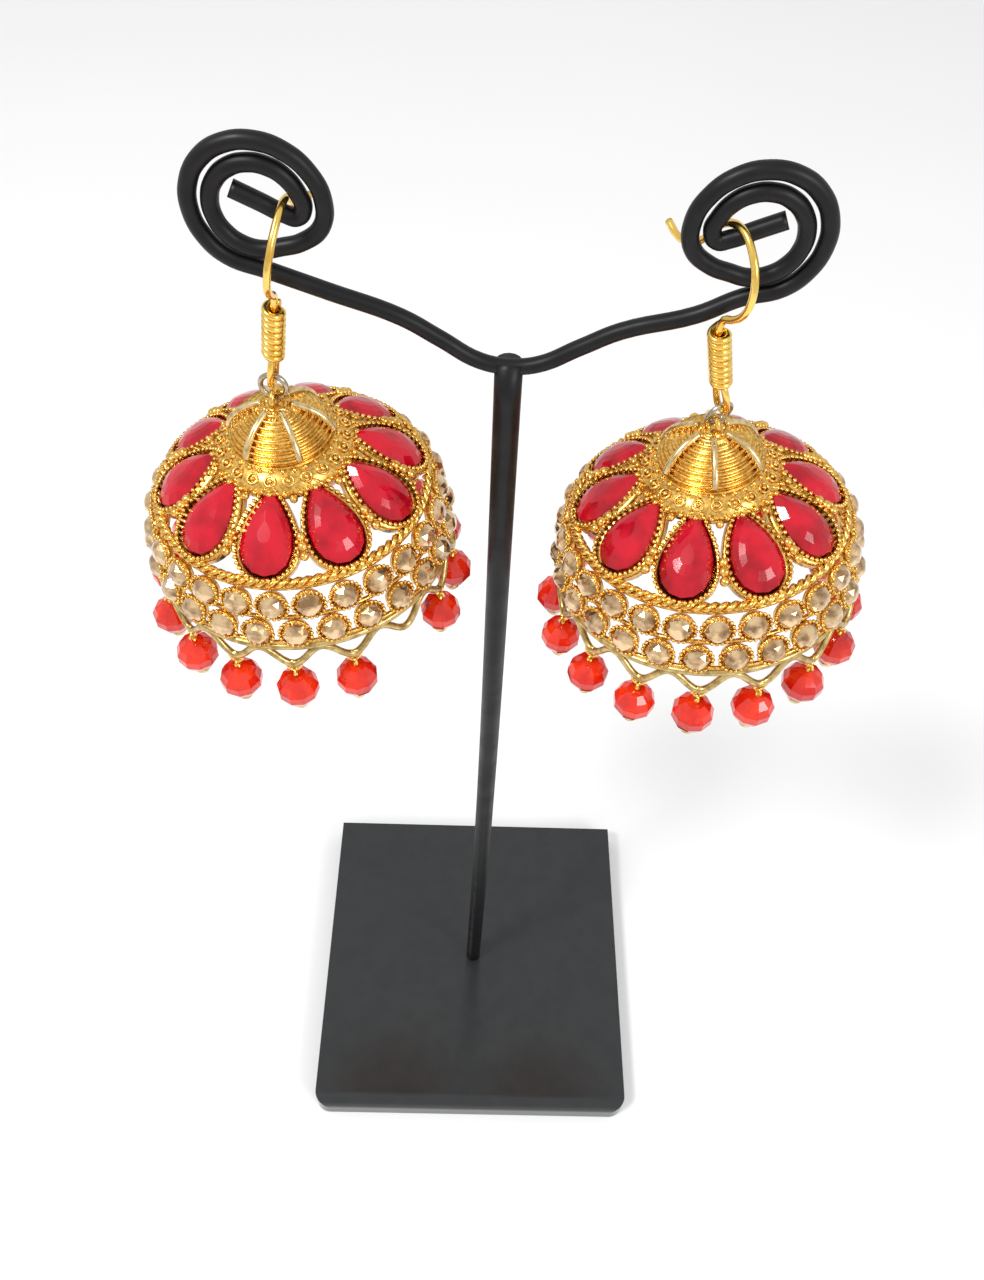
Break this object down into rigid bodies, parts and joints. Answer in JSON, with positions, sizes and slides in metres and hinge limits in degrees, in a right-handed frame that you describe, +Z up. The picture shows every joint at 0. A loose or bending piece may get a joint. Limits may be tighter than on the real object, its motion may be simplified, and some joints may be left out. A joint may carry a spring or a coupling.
{
  "type": "jhumka earring pair on display stand",
  "caption": "Pair of bell-shaped jhumka earrings with red teardrop stones and hanging red beads, on a black wire display stand.",
  "frame": {"origin": "middle of the bounding box at the underside of the base", "axes": "+Z up, X along the arms of the stand, front towards -Y"},
  "size_m": [0.0962, 0.0728, 0.209],
  "materials": {
    "black_paint": "semi-gloss black coat",
    "gold_wire": "polished yellow gold-tone wire",
    "silver_wire": "bright silver-tone wire",
    "antique_gold": "gold-tone metal, darker in the recesses",
    "red_stone": "faceted crimson stone",
    "red_bead": "faceted clear orange-red bead"
  },
  "bodies": {
    "stand": {"stand_base": "black_paint", "stand_frame": "black_paint", "ear_hook_left": "gold_wire", "ear_hook_right": "gold_wire"},
    "ring_left": {"jump_ring_left": "silver_wire"},
    "dome_left": {"dome_left": "antique_gold", "tear_stone_left_01": "red_stone", "tear_stone_left_02": "red_stone", "tear_stone_left_03": "red_stone", "tear_stone_left_04": "red_stone", "tear_stone_left_05": "red_stone", "tear_stone_left_06": "red_stone", "tear_stone_left_07": "red_stone", "tear_stone_left_08": "red_stone", "tear_stone_left_09": "red_stone", "tear_stone_left_10": "red_stone", "red_bead_left_01": "red_bead", "red_bead_left_02": "red_bead", "red_bead_left_04": "red_bead", "red_bead_left_05": "red_bead", "red_bead_left_06": "red_bead", "red_bead_left_07": "red_bead", "red_bead_left_08": "red_bead", "red_bead_left_09": "red_bead", "red_bead_left_10": "red_bead", "red_bead_left_11": "red_bead", "red_bead_left_12": "red_bead", "red_bead_left_13": "red_bead", "red_bead_left_14": "red_bead", "red_bead_left_15": "red_bead", "red_bead_left_16": "red_bead"},
    "ring_right": {"jump_ring_right": "silver_wire"},
    "dome_right": {"dome_right": "antique_gold", "tear_stone_right_01": "red_stone", "tear_stone_right_02": "red_stone", "tear_stone_right_03": "red_stone", "tear_stone_right_04": "red_stone", "tear_stone_right_05": "red_stone", "tear_stone_right_06": "red_stone", "tear_stone_right_07": "red_stone", "tear_stone_right_08": "red_stone", "tear_stone_right_09": "red_stone", "tear_stone_right_10": "red_stone", "red_bead_right_01": "red_bead", "red_bead_right_02": "red_bead", "red_bead_right_03": "red_bead", "red_bead_right_04": "red_bead", "red_bead_right_05": "red_bead", "red_bead_right_06": "red_bead", "red_bead_right_07": "red_bead", "red_bead_right_08": "red_bead", "red_bead_right_09": "red_bead", "red_bead_right_10": "red_bead", "red_bead_right_11": "red_bead", "red_bead_right_12": "red_bead", "red_bead_right_13": "red_bead", "red_bead_right_14": "red_bead", "red_bead_right_15": "red_bead", "red_bead_right_16": "red_bead"}
  },
  "joints": [
    {"name": "ring_swing_left", "type": "hinge", "parent": "stand", "child": "ring_left", "pos_m": [-0.02735, -0.0013, 0.1808], "axis": [-0.1219, -0.9925, 0], "range_deg": [-30, 2]},
    {"name": "dome_swing_left", "type": "hinge", "parent": "ring_left", "child": "dome_left", "pos_m": [-0.02745, -0.0013, 0.1787], "axis": [0.9925, -0.1219, 0], "range_deg": [-30, 30]},
    {"name": "ring_swing_right", "type": "hinge", "parent": "stand", "child": "ring_right", "pos_m": [0.02325, -0.0005, 0.1803], "axis": [0.515, -0.8572, 0], "range_deg": [0, 30]},
    {"name": "dome_swing_right", "type": "hinge", "parent": "ring_right", "child": "dome_right", "pos_m": [0.0227, -0.0003, 0.1782], "axis": [0.8572, 0.515, 0], "range_deg": [-30, 15]}
  ]
}
